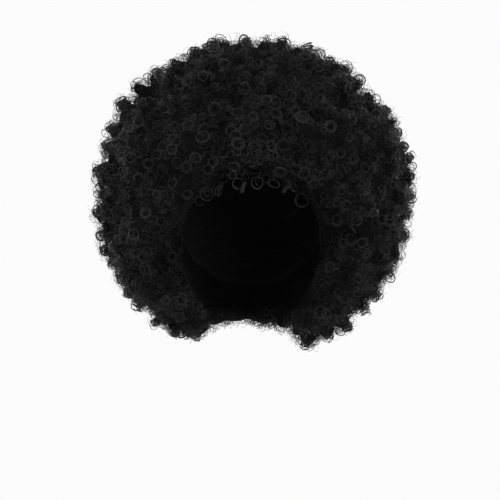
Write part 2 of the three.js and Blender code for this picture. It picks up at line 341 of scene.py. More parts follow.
mass = {
    "voxel": 3.9 * mm,
    "weld": 0.01 * mm,
    "soften": 3,  # rounds
    "lift": -8.2 * mm,  # of the creases between clumps, from the solids' outline
    "clump": 20 * mm,  # breadth of the rounded clumps
    "clumpRise": 12 * mm,
    "steepness": 1.5,  # of a clump's sides
    "fall": 0.5,  # share of its height that a clump loses from its middle outward
    "fallReach": 0.8,
    "creases": (0.1, 0.65),  # heights at the bottom of a crease and at its end
    "evening": 2,  # rounds
    "lowEvening": 3,  # more rounds for the clumps low down
    "lowEveningLevels": (-60 * mm, -120 * mm),  # where these start and are whole
    "crinkle": 1.6 * mm,  # small unevenness
    "crinkleSize": 5 * mm,
}
# How the clumps stand at the outline, where a point's surface turns away from the camera. A point's facing
# is 0 where it is edge on and 1 where it looks straight at the camera
outline = {
    "rise": 0.2,  # share of the clumps' rise that is left there
    "facing": (0.08, 0.28),  # from there to the whole rise
    "lowDown": 0.28,  # share of the rise by which the hair low down stands out more, but for the outline
    "lowLevels": (-95 * mm, -150 * mm),
    "lowFacing": (0.1, 0.3),
}
# Where the clumps and the strands keep off the head and the way for the neck
clear = {
    "head": 2 * mm,
    "headReach": 9 * mm,  # as far as points are moved
    "growth": (5 * mm, 12 * mm),  # distances from the head where they start and are whole
    "neck": 4 * mm,
    "neckLevels": (-190 * mm, -110 * mm),
}


# How far points lie outside an ellipse or an ellipsoid about the origin, near enough.
def beyond(halves, local):
    radius = np.linalg.norm(local / halves, axis=1)
    return np.linalg.norm(local, axis=1) * (1 - 1 / np.maximum(radius, 1e-6))


def headDistance(points):
    down = np.where(points[:, 2] > -head["crownRise"], head["crownRise"], head["jawDrop"])
    across, along = np.full(len(down), head["breadth"] / 2), np.full(len(down), head["length"] / 2)
    return beyond(np.stack([across, along, down], 1), points + np.array([0, 0, head["crownRise"]]))


def neckDistance(points):
    halves = np.array([head["neckBreadth"] / 2, head["neckLength"] / 2])
    return beyond(halves, points[:, :2] - np.array([0, head["neckCentre"]]))


def sectionsTogether():
    joined = bmesh.new()
    for name in hairNodes:
        joined.from_mesh(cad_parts[name].data)
    bmesh.ops.remove_doubles(joined, verts=joined.verts, dist=mass["weld"])
    mesh = bpy.data.meshes.new("sections")
    joined.to_mesh(mesh)
    joined.free()
    together = newObject("sections", mesh)
    remesh = together.modifiers.new("run together", "REMESH")
    remesh.mode = "VOXEL"
    remesh.voxel_size = mass["voxel"]
    smooth = together.modifiers.new("soften", "SMOOTH")
    smooth.factor = 0.5
    smooth.iterations = mass["soften"]
    made = evaluated(together, "hairForm")
    bpy.data.objects.remove(together)
    return made


# Points that lie near the head moved on to the cap: none nearer than the clearance.
def seatedOnHead(points):
    away = headDistance(points)
    fromCap = np.maximum(0, away - clear["head"])
    seated = clear["head"] + fromCap * smoothStep(clear["head"], clear["headReach"], away)
    local = points + np.array([0, 0, head["crownRise"]])
    outward = local / np.linalg.norm(local, axis=1, keepdims=True)
    return points + outward * np.where(away < clear["headReach"], seated - away, 0)[:, None]


# Degrees: the crown's edge counts from the top, and the others from the front
sectionEdges = {"crown": 43, "fringe": 36, "back": 128}


# The section of the hair that each point belongs to, as an index in hairNodes.
def sectionOf(points):
    crown, fringe, left, right, back = range(len(hairNodes))
    across, forward, rise = points[:, 0], -points[:, 1], points[:, 2] + head["crownRise"]
    onTop = np.hypot(across, forward) < rise * math.tan(math.radians(sectionEdges["crown"]))
    azimuth = np.degrees(np.arctan2(across, forward))
    sides = np.where(azimuth > 0, left, right)
    lower = np.where(np.abs(azimuth) > sectionEdges["back"], back, sides)
    lower = np.where(np.abs(azimuth) < sectionEdges["fringe"], fringe, lower)
    return np.where(onTop, crown, lower)


# Clumps that make the outline seen from the front: place in the photograph, and radius in millimetres
outlineClumps = [
    (246, 43, 8), (226, 45, 6), (213, 46, 9), (195, 54, 9), (174, 62, 7), (158, 73, 7), (138, 87, 8),
    (123, 103, 8), (112, 129, 8), (107, 147, 8), (99, 171, 7), (100, 194, 6), (98, 210, 7), (105, 236, 6),
    (106, 250, 8), (116, 262, 7), (124, 277, 9), (132, 292, 8), (141, 304, 8), (157, 321, 7),
    (167, 323, 6), (176, 331, 7), (188, 337, 8), (198, 335, 6), (283, 48, 7), (297, 51, 8), (308, 54, 7),
    (330, 64, 8), (345, 72, 7), (357, 83, 8), (372, 101, 7), (384, 112, 8), (392, 124, 7), (398, 136, 7),
    (403, 148, 7), (407, 160, 7), (407, 177, 8), (410, 194, 7), (405, 213, 9), (401, 235, 9),
    (394, 256, 8), (386, 271, 8), (374, 293, 9), (364, 309, 9), (346, 325, 9), (329, 336, 8),
    (309, 341, 9),
]
listed = {
    "depth": 24,  # millimetres that one may stand nearer or farther than the hair's middle
    "breadth": 1.25,  # share of its radius that it spreads over
    "past": 0.55,  # share of its radius that it stands past its place
    "rise": (0.4, 1.6),  # least and greatest, as shares of the clumps' rise
    "keptFrom": 0.4,  # from this near its middle, one is not rounded with the others low down
}

# Where each of them stands, with its radius in metres
clumpPlaces = [(inThePicture(across, down, eitherWay(listed["depth"]) * mm), radius * mm)
               for across, down, radius in outlineClumps]


# How high each point stands in its clump, 0 in the creases and 1 at the middle, how near it is to the
# middle of a listed clump, and how deep it lies in a crease.
def clumpHeights(points, normals, surface):
    heights = np.empty(len(points))
    for k, point in enumerate(points):
        near = noise.voronoi(Vector(point) / mass["clump"])[0]
        inside = min(1, mass["steepness"] * (near[1] - near[0]))
        fall = mass["fall"] * min(1, near[0] / mass["fallReach"]) ** 2
        heights[k] = (1 - (1 - inside) ** 2) * (1 - fall)
    creases = 1 - smoothStep(*mass["creases"], heights)
    sight = points - np.array(bpy.context.scene.camera.location)
    facing = np.abs(np.sum(normals * sight, axis=1)) / np.linalg.norm(sight, axis=1)
    heights *= outline["rise"] + (1 - outline["rise"]) * smoothStep(*outline["facing"], facing)
    hanging = smoothStep(*outline["lowLevels"], points[:, 2])
    heights += outline["lowDown"] * hanging * smoothStep(*outline["lowFacing"], facing)
    nearest = np.zeros(len(points))
    least, greatest = listed["rise"]
    for place, radius in clumpPlaces:
        middle, normal = surface.find_nearest(place)[:2]
        top = ((place - middle).dot(normal) + listed["past"] * radius - mass["lift"]) / mass["clumpRise"]
        apart = np.linalg.norm(points - np.array(middle), axis=1) / (radius * listed["breadth"])
        heights = np.maximum(heights, min(greatest, max(least, top)) * (1 - apart ** 2))
        nearest = np.maximum(nearest, 1 - apart ** 2)
    return heights, nearest, creases * (1 - nearest)


# Values at the vertices evened out with their neighbours' a few times over.
def evened(values, mesh, rounds):
    ends = np.empty(len(mesh.edges) * 2, dtype=np.int64)
    mesh.edges.foreach_get("vertices", ends)
    first, second = ends.reshape(-1, 2).T
    shared = np.bincount(ends, minlength=len(values))
    for k in range(rounds):
        around = np.bincount(first, values[second], len(values))
        around += np.bincount(second, values[first], len(values))
        values = 0.5 * values + 0.5 * around / shared
    return values


# The fringe's underside over the face: an arch that widens forward, with a small peak in its middle
underside = {
    "foot": -112 * mm,  # level of the arch's sides
    "half": 70 * mm,
    "rise": 74 * mm,
    "power": 1.9,  # 2 is round, and less is more pointed
    "widensFrom": 82 * mm,  # forward of the origin
    "halfGain": 0.62,
    "riseGain": 0.14,
    "peak": 6 * mm,
    "peakReach": 32 * mm,
    "margin": 2 * mm,  # that the hair may hang below it
    "front": -70 * mm,  # it counts forward of this,
    "sides": 52 * mm,  # this far to either side
    "lowest": -95 * mm,  # and above this
    "thinAbove": -90 * mm,  # the hair grows thin on it above this,
    "thin": 0.3,  # to this share,
    "looksDown": -0.35,  # where its surface looks down at least this much
}


# The level of the fringe's underside, without the ringlets that hang below it.
def undersideLevel(points):
    widened = np.maximum(0, -points[:, 1] - underside["widensFrom"])
    half = underside["half"] + underside["halfGain"] * widened
    rise = underside["rise"] + underside["riseGain"] * widened
    inside = np.maximum(0, 1 - np.abs(points[:, 0] / half) ** underside["power"])
    arch = underside["foot"] + rise * inside ** (1 / underside["power"])
    return arch + underside["peak"] * np.exp(-(points[:, 0] / underside["peakReach"]) ** 2)


# The form under the clumps, trimmed at the fringe and seated on the cap
hairForm = sectionsTogether()
formPoints = vertexRows(hairForm.data.vertices, "co")
formNormals = vertexRows(hairForm.data.vertex_normals, "vector")
lowest = undersideLevel(formPoints) - underside["margin"]
forward = formPoints[:, 1] < underside["front"]
inFace = forward & (np.abs(formPoints[:, 0]) < underside["sides"]) & (formPoints[:, 2] > underside["lowest"])
formPoints[:, 2] = np.where(inFace, np.maximum(formPoints[:, 2], lowest), formPoints[:, 2])
formPoints = seatedOnHead(formPoints)
formSurface = BVHTree.FromPolygons(formPoints.tolist(), [f.vertices for f in hairForm.data.polygons])

# Where the hair grows, and how thick
forward = formPoints[:, 1] < underside["front"]
looksDown = formNormals[:, 2] < underside["looksDown"]
thin = forward & looksDown & (formPoints[:, 2] > underside["thinAbove"])
neckBottom, neckTop = clear["neckLevels"]
atNeck = (formPoints[:, 2] > neckBottom) & (formPoints[:, 2] < neckTop)
atNeck &= neckDistance(formPoints) < clear["neck"]
growth = np.where(atNeck, 0.0, smoothStep(*clear["growth"], headDistance(formPoints)))

# The clumps raised on it
crinkles = np.array([noise.noise(Vector(point) / mass["crinkleSize"]) for point in formPoints])
clumps, nearListed, creases = clumpHeights(formPoints, formNormals, formSurface)
clumps = evened(clumps, hairForm.data, mass["evening"])
raised = (mass["lift"] + mass["clumpRise"] * clumps + mass["crinkle"] * crinkles) * growth
clumped = formPoints + formNormals * raised[:, None]
rounded = np.stack([evened(clumped[:, k], hairForm.data, mass["lowEvening"]) for k in range(3)], 1)
soft = growth * smoothStep(*mass["lowEveningLevels"], formPoints[:, 2])
soft *= 1 - smoothStep(0, listed["keptFrom"], nearListed)
clumped += (rounded - clumped) * soft[:, None]
hairForm.data.vertices.foreach_set("co", clumped.ravel())
hairForm.data.update()

# How thick the strands grow on each section: full on the clumps and sparse in the creases
sparse = {"creases": 0.12, "heights": (0.08, 0.55)}
onClumps = sparse["creases"] + (1 - sparse["creases"]) * smoothStep(*sparse["heights"], clumps)
thickness = growth * np.where(thin, underside["thin"], 1) * onClumps
# The depth of each point in its crease, which the strands' fibre reads to paint shade in the creases
crease = hairForm.data.attributes.new("crease", "FLOAT", "POINT")
crease.data.foreach_set("value", creases)
for index, node in enumerate(hairNodes):
    mask = hairForm.data.attributes.new(node, "FLOAT", "POINT")
    mask.data.foreach_set("value", thickness * (sectionOf(formPoints) == index))
print("form vertices", len(formPoints))


def makeMass():
    piece = newObject("hair_mass", hairForm.data.copy())
    piece.data.shade_smooth()
    piece.data.materials.append(massFibre)
    finishPiece(piece, "hair", *hairNodes)


makeMass()


# Ringlets, curls and fuzz, grown on the mass by one tree of nodes
print("strands")

# Sets of strands: clear tight coils, dimmer ones, loops that stand out, small curls, and the fine halo
strandSets = {
    "ringlets": {
        "Spacing": 22 * mm, "Coil Radius": 5.6 * mm, "Coil Height": 4 * mm, "Turns": 2.8,
        "Steps per Turn": 14, "Strand Radius": 0.28 * mm, "Tilt": 0.5, "Unevenness": 1.2 * mm,
        "Lift": 3.2 * mm, "Fibre": ringletFibre},
    "dim_ringlets": {
        "Spacing": 13.5 * mm, "Coil Radius": 5.4 * mm, "Coil Height": 4 * mm, "Turns": 2,
        "Steps per Turn": 12, "Strand Radius": 0.22 * mm, "Tilt": 0.6, "Unevenness": 1.6 * mm,
        "Lift": 3 * mm, "Fibre": ringletFibre},
    "loops": {
        "Spacing": 19 * mm, "Coil Radius": 4.8 * mm, "Coil Height": 3 * mm, "Turns": 1.6,
        "Steps per Turn": 12, "Strand Radius": 0.36 * mm, "Tilt": 1.5, "Unevenness": 2.4 * mm,
        "Lift": 2.4 * mm, "Fibre": curlFibre},
    "curls": {
        "Spacing": 4.9 * mm, "Coil Radius": 3.7 * mm, "Coil Height": 5 * mm, "Turns": 1.3,
        "Steps per Turn": 9, "Strand Radius": 0.27 * mm, "Tilt": 1.1, "Unevenness": 4 * mm,
        "Lift": 1 * mm, "Fibre": curlFibre},
    "fuzz": {
        "Spacing": 3.8 * mm, "Coil Radius": 4.6 * mm, "Coil Height": 6 * mm, "Turns": 0.6,
        "Steps per Turn": 8, "Strand Radius": 0.15 * mm, "Tilt": 1.3, "Unevenness": 5 * mm,
        "Lift": 3.4 * mm, "Fibre": curlFibre},
}
# What all of the sets share
strandShape = {
    "seed": 11,
    "crowding": 3.0,  # points tried on each square of the spacing
    "sizes": (0.82, 1.14),  # least and greatest size of a coil
    "bends": 7 * mm,  # breadth of the bends that make a strand uneven
    "taperFrom": 0.6,  # share of a strand's length
    "tip": 0.45,  # share of its radius
    "sides": 3,
}
# Five forms of coil: shares of the given turns, radii and height, and the way round
coilForms = [
    (1.0, 1.0, 0.8, 1.0, False), (0.8, 1.12, 0.78, 0.6, True), (1.2, 0.92, 0.8, 1.3, False),
    (0.95, 1.14, 0.55, 0.9, True), (0.7, 1.02, 0.9, 0.4, False),
]


def strandTree():
    tree = bpy.data.node_groups.new("curled strands on a surface", "GeometryNodeTree")
    sockets = {
        "Geometry": "NodeSocketGeometry", "Growth": "NodeSocketFloat", "Seed": "NodeSocketInt",
        "Spacing": "NodeSocketFloat", "Coil Radius": "NodeSocketFloat", "Coil Height": "NodeSocketFloat",
        "Turns": "NodeSocketFloat", "Steps per Turn": "NodeSocketInt", "Strand Radius": "NodeSocketFloat",
        "Tilt": "NodeSocketFloat", "Unevenness": "NodeSocketFloat", "Lift": "NodeSocketFloat",
        "Fibre": "NodeSocketMaterial",
    }
    for name, kind in sockets.items():
        tree.interface.new_socket(name, in_out="INPUT", socket_type=kind)
    tree.interface.new_socket("Geometry", in_out="OUTPUT", socket_type="NodeSocketGeometry")
    given = tree.nodes.new("NodeGroupInput")

    # Points spread over the surface
    density = addNode(tree, "ShaderNodeMath", {"operation": "DIVIDE"}, {0: strandShape["crowding"]},
                      {1: (given, "Spacing")})
    density = addNode(tree, "ShaderNodeMath", {"operation": "DIVIDE"},
                      links={0: (density, 0), 1: (given, "Spacing")})
    spread = addNode(tree, "GeometryNodeDistributePointsOnFaces", {"distribute_method": "POISSON"}, links={
        "Mesh": (given, "Geometry"), "Distance Min": (given, "Spacing"), "Density Max": (density, 0),
        "Density Factor": (given, "Growth"), "Seed": (given, "Seed")})

    # The coils to choose from
    kinds = addNode(tree, "GeometryNodeJoinGeometry")
    for turns, start, end, height, reverse in coilForms:
        shares = [("Turns", turns), ("Coil Radius", start), ("Coil Radius", end), ("Coil Height", height)]
        scaled = [addNode(tree, "ShaderNodeMath", {"operation": "MULTIPLY"}, {1: share}, {0: (given, name)})
                  for name, share in shares]
        coil = addNode(tree, "GeometryNodeCurveSpiral", values={"Reverse": reverse}, links={
            "Resolution": (given, "Steps per Turn"), "Rotations": (scaled[0], 0),
            "Start Radius": (scaled[1], 0), "End Radius": (scaled[2], 0), "Height": (scaled[3], 0)})
        kept = addNode(tree, "GeometryNodeGeometryToInstance", links={0: (coil, 0)})
        tree.links.new(kept.outputs[0], kinds.inputs[0])

    # How each one leans, its size and how far out it stands
    lean = addNode(tree, "FunctionNodeRandomValue", {"data_type": "FLOAT_VECTOR"},
                   {"Min": (-1, -1, -3.1416), "Max": (1, 1, 3.1416)}, {"Seed": (given, "Seed")})
    leanBy = addNode(tree, "ShaderNodeCombineXYZ", values={"Z": 1.0},
                     links={"X": (given, "Tilt"), "Y": (given, "Tilt")})
    turned = addNode(tree, "ShaderNodeVectorMath", {"operation": "MULTIPLY"},
                     links={0: (lean, 0), 1: (leanBy, 0)})
    turnedBy = addNode(tree, "FunctionNodeEulerToRotation", links={0: (turned, 0)})
    stand = addNode(tree, "FunctionNodeRotateRotation", {"rotation_space": "LOCAL"},
                    links={"Rotation": (spread, "Rotation"), "Rotate By": (turnedBy, 0)})
    size = addNode(tree, "FunctionNodeRandomValue", {"data_type": "FLOAT"})
    size.inputs[2].default_value, size.inputs[3].default_value = strandShape["sizes"]
    tree.links.new(given.outputs["Seed"], size.inputs["Seed"])
    outward = addNode(tree, "ShaderNodeVectorMath", {"operation": "SCALE"},
                      links={0: (spread, "Normal"), "Scale": (given, "Lift")})
    lifted = addNode(tree, "GeometryNodeSetPosition",
                     links={"Geometry": (spread, "Points"), "Offset": (outward, 0)})
    grown = addNode(tree, "GeometryNodeInstanceOnPoints", {}, {"Pick Instance": True}, {
        "Points": (lifted, 0), "Instance": (kinds, 0), "Rotation": (stand, 0), "Scale": (size, 1)})
    pick = addNode(tree, "FunctionNodeRandomValue", {"data_type": "INT"})
    pick.inputs[4].default_value, pick.inputs[5].default_value = 0, len(coilForms) - 1
    tree.links.new(given.outputs["Seed"], pick.inputs["Seed"])
    tree.links.new(pick.outputs[2], grown.inputs["Instance Index"])
    real = addNode(tree, "GeometryNodeRealizeInstances", links={0: (grown, 0)})

    # Bent unevenly, and made into tapered tubes
    place = addNode(tree, "GeometryNodeInputPosition")
    waves = addNode(tree, "ShaderNodeTexNoise", values={"Scale": 1 / strandShape["bends"], "Detail": 1},
                    links={"Vector": (place, 0)})
    middle = addNode(tree, "ShaderNodeVectorMath", {"operation": "SUBTRACT"}, {1: (0.5, 0.5, 0.5)},
                     {0: (waves, "Color")})
    shove = addNode(tree, "ShaderNodeVectorMath", {"operation": "SCALE"},
                    links={0: (middle, 0), "Scale": (given, "Unevenness")})
    uneven = addNode(tree, "GeometryNodeSetPosition", links={"Geometry": (real, 0), "Offset": (shove, 0)})
    section = addNode(tree, "GeometryNodeCurvePrimitiveCircle", values={"Resolution": strandShape["sides"]},
                      links={"Radius": (given, "Strand Radius")})
    along = addNode(tree, "GeometryNodeSplineParameter")
    taper = addNode(tree, "ShaderNodeMapRange", values={
        "From Min": strandShape["taperFrom"], "From Max": 1.0, "To Min": 1.0, "To Max": strandShape["tip"]},
        links={"Value": (along, "Factor")})
    tubes = addNode(tree, "GeometryNodeCurveToMesh", values={"Fill Caps": True},
                    links={"Curve": (uneven, 0), "Profile Curve": (section, 0), "Scale": (taper, 0)})
    solid = addNode(tree, "GeometryNodeRealizeInstances", links={0: (tubes, 0)})
    dyed = addNode(tree, "GeometryNodeSetMaterial",
                   links={"Geometry": (solid, 0), "Material": (given, "Fibre")})
    result = tree.nodes.new("NodeGroupOutput")
    tree.links.new(dyed.outputs[0], result.inputs[0])
    return tree


strands = strandTree()


# Grows one set of strands on one section, as a plain piece.
def grow(name, node, settings, seed):
    ground = newObject("ground", hairForm.data.copy())
    nodes = ground.modifiers.new("strands", "NODES")
    nodes.node_group = strands
    sockets = {item.name: item.identifier for item in strands.interface.items_tree if item.in_out == "INPUT"}
    for key, value in {**settings, "Seed": seed}.items():
        nodes[sockets[key]] = value
    nodes[sockets["Growth"] + "_use_attribute"] = True
    nodes[sockets["Growth"] + "_attribute_name"] = node
    piece = evaluated(ground, name)
    bpy.data.objects.remove(ground)
    piece.data.shade_smooth()
    finishPiece(piece, "hair", node)


for index, node in enumerate(hairNodes):
    for order, (name, settings) in enumerate(strandSets.items()):
        grow(name + "_" + node.replace("hair_", ""), node, settings, strandShape["seed"] + 10 * order + index)


# Ringlets where the photograph shows them
print("placed ringlets")

hairSurface = BVHTree.FromPolygons([v.co for v in hairForm.data.vertices],
                                   [f.vertices for f in hairForm.data.polygons])

# What all of the placed strands share
placed = {
    "bends": 9 * mm,  # breadth of the bends that make a strand uneven
    "bend": 1.1,  # millimetres
    "taperFrom": 0.7,  # share of a strand's length
    "taper": 0.5,  # share of its radius lost at the tip
    "rootDepth": 3,  # millimetres into the hair
}


# Turns of a strand round an axis, from a start angle in degrees. Pitch is the way back along the axis per
# turn, and shrink is the last turn's radius as a share of the first.
def wound(centre, axis, radius, turns, pitch, shrink, start, steps=18):
    side = Vector((1, 0, 0)) - axis * axis.x
    nearlyAcross = side.length <= 0.3
    side = axis.cross(Vector((0, 1, 0))).normalized() if nearlyAcross else side.normalized()
    up = axis.cross(side)
    points = []
    for k in range(round(steps * turns) + 1):
        turned = math.radians(start) + 2 * math.pi * k / steps
        share = k / (steps * turns)
        reach = radius * (1 + (shrink - 1) * share)
        point = centre + (side * math.cos(turned) + up * math.sin(turned)) * reach - axis * pitch * k / steps
        points.append(point + noise.noise_vector(point / placed["bends"]) * placed["bend"] * mm)
    return points


# Strands given as (points, radius), each one a closed tube with a finer tip, as one piece.
def strandPiece(name, paths, *nodes):
    curve = bpy.data.curves.new(name, "CURVE")
    curve.dimensions = "3D"
    curve.bevel_depth = 1
    curve.bevel_resolution = 0
    curve.use_fill_caps = True
    for points, radius in paths:
        spline = curve.splines.new("POLY")
        spline.points.add(len(points) - 1)
        for k, point in enumerate(points):
            towardsTip = float(smoothStep(placed["taperFrom"], 1, k / (len(points) - 1)))
            spline.points[k].co = (*point, 1)
            spline.points[k].radius = radius * (1 - placed["taper"] * towardsTip)
    source = newObject(name + "_paths", curve)
    piece = evaluated(source, name)
    bpy.data.objects.remove(source)
    piece.data.materials.clear()
    piece.data.materials.append(ringletFibre)
    piece.data.shade_smooth()
    finishPiece(piece, "hair", *nodes)


# A ringlet that stands out from the hair: two coils, one within the other
nested = {
    "above": 2.6 * mm,  # height of its middle over the hair
    "turns": (1.7, 2.5),
    "innerTurns": (1.3, 2.2),
    "innerShare": (0.6, 0.82),  # of the outer coil's radius
    "innerBehind": 5,  # millimetres that the inner coil lies deeper, per share of radius that it lacks
    "strands": (0.26, 0.24),  # radius in millimetres, outer and inner
    "pitch": (0.7, 1.1),  # millimetres
    "shrink": (0.8, 1.0),
    "steps": 16,
}


def nestedCoils(centre, axis, radius):
    outerStrand, innerStrand = nested["strands"]
    outer = (1, chance.uniform(*nested["turns"]), outerStrand)
    inner = (chance.uniform(*nested["innerShare"]), chance.uniform(*nested["innerTurns"]), innerStrand)
    coils = []
    for share, turns, strand in (outer, inner):
        pitch, shrink = chance.uniform(*nested["pitch"]) * mm, chance.uniform(*nested["shrink"])
        start = centre - axis * (1 - share) * nested["innerBehind"] * mm
        coil = wound(start, axis, radius * share, turns, pitch, shrink, anyAngle(), nested["steps"])
        coils.append((coil, strand * mm))
    return coils


# Coils seen end on over the front: place in the photograph, and radius in millimetres
frontRings = [
    (191, 81, 5.3), (210, 79, 5.3), (216, 90, 5.3), (224, 67, 5.8), (244, 88, 6), (246, 109, 5.3),
    (167, 102, 5.3), (168, 116, 5.2), (217, 108, 6.2), (204, 130, 6.2), (146, 129, 5), (170, 131, 5.2),
    (152, 141, 5.8), (165, 148, 5), (157, 155, 5.2), (149, 164, 5.3), (138, 178, 5), (152, 178, 5.8),
    (208, 157, 5.2), (224, 151, 5.2), (178, 163, 5.3), (189, 167, 5.2), (233, 131, 5.2), (243, 129, 5),
    (235, 121, 5), (195, 160, 5), (237, 145, 5.8), (185, 192, 5.2), (268, 103, 5.6), (281, 111, 5.5),
    (255, 120, 5.1), (268, 128, 5), (295, 110, 4.6), (307, 107, 5.5), (318, 111, 5.4), (326, 106, 5.2),
    (300, 121, 6.1), (290, 130, 5.5), (328, 129, 5.8), (309, 149, 5.2), (306, 146, 6.8), (328, 157, 5.6),
    (341, 155, 4.7), (373, 160, 4.8), (268, 146, 5.5), (254, 150, 6.6), (273, 156, 5.4), (281, 167, 5.9),
    (295, 169, 5.2), (350, 160, 4.8), (323, 175, 5), (348, 202, 5), (339, 218, 5.3), (354, 218, 5.2),
    (353, 239, 5.8), (362, 243, 5), (333, 253, 5.4), (343, 253, 5.3), (333, 269, 5.2), (340, 292, 5.4),
    (356, 279, 5), (326, 313, 5.2), (388, 206, 4.5), (385, 235, 4.5), (135, 226, 5), (155, 228, 5.2),
    (127, 236, 6), (144, 236, 5.7), (162, 248, 6.2), (142, 255, 5.2), (147, 269, 5.2), (170, 257, 5),
    (148, 212, 5), (173, 279, 4.8),
]
frontRing = {
    "outward": 0.8,  # how far it looks out from the hair, where 1 is as much as it looks at the viewer
    "astray": 0.12,
    "slope": 0.5,  # share of its radius by which it stands higher where the hair slopes away
}


def makeFrontRings():
    paths = []
    for across, down, radius in frontRings:
        start, way = lineOfSight(across, down)
        spot, normal, face, away = hairSurface.ray_cast(start, way)
        if spot is None:
            continue
        axis = (normal * frontRing["outward"] - way + slightly(frontRing["astray"])).normalized()
        above = nested["above"] + radius * mm * frontRing["slope"] * (1 - max(0, normal.dot(-way)))
        paths += nestedCoils(spot + normal * above, axis, radius * mm)
    strandPiece("ringlets_facing_front", paths, *hairNodes)


# The same ringlets over the sides, the top and the back, at the tops of clumps and well apart
ringsAllRound = {
    "count": 46,
    "apart": 24 * mm,
    "behind": -45 * mm,  # all stand behind this level of Y
    "growth": 0.9,  # least share of the hair's full growth
    "height": 0.55,  # least height in a clump
    "radius": (4.8 * mm, 6 * mm),
    "astray": 0.25,
}


def makeRingsAllRound():
    settings = ringsAllRound
    fits = (growth > settings["growth"]) & (clumps > settings["height"])
    fits &= formPoints[:, 1] > settings["behind"]
    tops = np.flatnonzero(fits).tolist()
    chance.shuffle(tops)
    taken, paths = [], []
    for index in tops:
        top = hairForm.data.vertices[index]
        apart = all((top.co - other).length > settings["apart"] for other in taken)
        if apart and len(taken) < settings["count"]:
            taken.append(top.co.copy())
            axis = (top.normal + slightly(settings["astray"])).normalized()
            centre = top.co + top.normal * nested["above"]
            paths += nestedCoils(centre, axis, chance.uniform(*settings["radius"]))
    strandPiece("ringlets_all_round", paths, *hairNodes)


# Loops that stand out at the edge: place, radius and the strand's radius in millimetres
edgeLoops = [
    (135, 87, 5, 0.4), (119, 104, 5.4, 0.45), (116, 102, 4.6, 0.3), (157, 73, 5, 0.5), (147, 77, 4, 0.25),
    (172, 61, 5, 0.5), (167, 67, 4.8, 0.45), (193, 53, 5.6, 0.4), (212, 44, 6.4, 0.3),
    (216, 46, 4.6, 0.45), (244, 40, 5.5, 0.6), (287, 38, 6, 0.3), (284, 43, 5.6, 0.6), (309, 48, 5, 0.5),
    (321, 54, 6.4, 0.35), (330, 63, 5.6, 0.6), (349, 63, 6.6, 0.22), (360, 80, 6.2, 0.45),
    (377, 98, 5.4, 0.3), (384, 110, 4.8, 0.5), (392, 121, 4.5, 0.45), (397, 133, 5, 0.5),
    (404, 146, 5, 0.55), (411, 157, 4, 0.7), (413, 165, 4.5, 0.5), (410, 176, 4.6, 0.4),
    (413, 199, 4.6, 0.5), (414, 223, 4, 0.25), (405, 234, 5, 0.6), (394, 258, 4.8, 0.5),
    (393, 283, 4.6, 0.5), (403, 261, 3.6, 0.2), (392, 272, 4, 0.3), (375, 300, 5, 0.35),
    (350, 327, 4.5, 0.3), (338, 337, 4.5, 0.5), (306, 342, 5, 0.45), (106, 133, 5, 0.4),
    (99, 140, 4, 0.2), (101, 154, 3.6, 0.5), (97, 171, 4, 0.65), (92, 188, 4, 0.25), (97, 194, 4, 0.4),
    (88, 212, 4, 0.2), (96, 213, 4.6, 0.5), (101, 236, 5.4, 0.9), (104, 250, 5.5, 0.6),
    (113, 263, 4.6, 0.7), (121, 279, 5, 0.4), (129, 293, 5.4, 0.6), (137, 306, 6, 0.5),
    (142, 314, 4, 0.3), (153, 327, 4.5, 0.2), (156, 322, 4.5, 0.4), (176, 333, 4.5, 0.45),
    (184, 341, 4.8, 0.8),
]
edgeLoop = {
    "depth": 28,  # millimetres that one may lie nearer or farther than the hair's middle
    "out": 0.95,  # share of its radius that its middle may lie out from the hair
    "astray": 0.25,
    "turns": (1.5, 2.4),
    "pitch": (0.6, 1.3),  # millimetres
    "shrink": (0.8, 1.05),
}


# Each loop faces the front, starts inside the hair beside it and turns round its own middle.
def makeEdgeLoops():
    paths = []
    for across, down, radius, strand in edgeLoops:
        way = lineOfSight(across, down)[1]
        aim = inThePicture(across, down, eitherWay(edgeLoop["depth"]) * mm)
        root, normal, face, away = hairSurface.find_nearest(aim)
        centre = root + (aim - root).normalized() * min(away, radius * edgeLoop["out"] * mm)
        axis = (slightly(edgeLoop["astray"]) - way).normalized()
        side = Vector((1, 0, 0)) - axis * axis.x
        inward = root - normal * radius * mm - centre
        begin = math.degrees(math.atan2(inward.dot(axis.cross(side)), inward.dot(side)))
        turns, pitch = chance.uniform(*edgeLoop["turns"]), chance.uniform(*edgeLoop["pitch"]) * mm
        loop = wound(centre, axis, radius * mm, turns, pitch, chance.uniform(*edgeLoop["shrink"]), begin)
        paths.append(([root - normal * placed["rootDepth"] * mm] + loop, strand * mm))
    strandPiece("ringlets_at_the_edge", paths, *hairNodes)


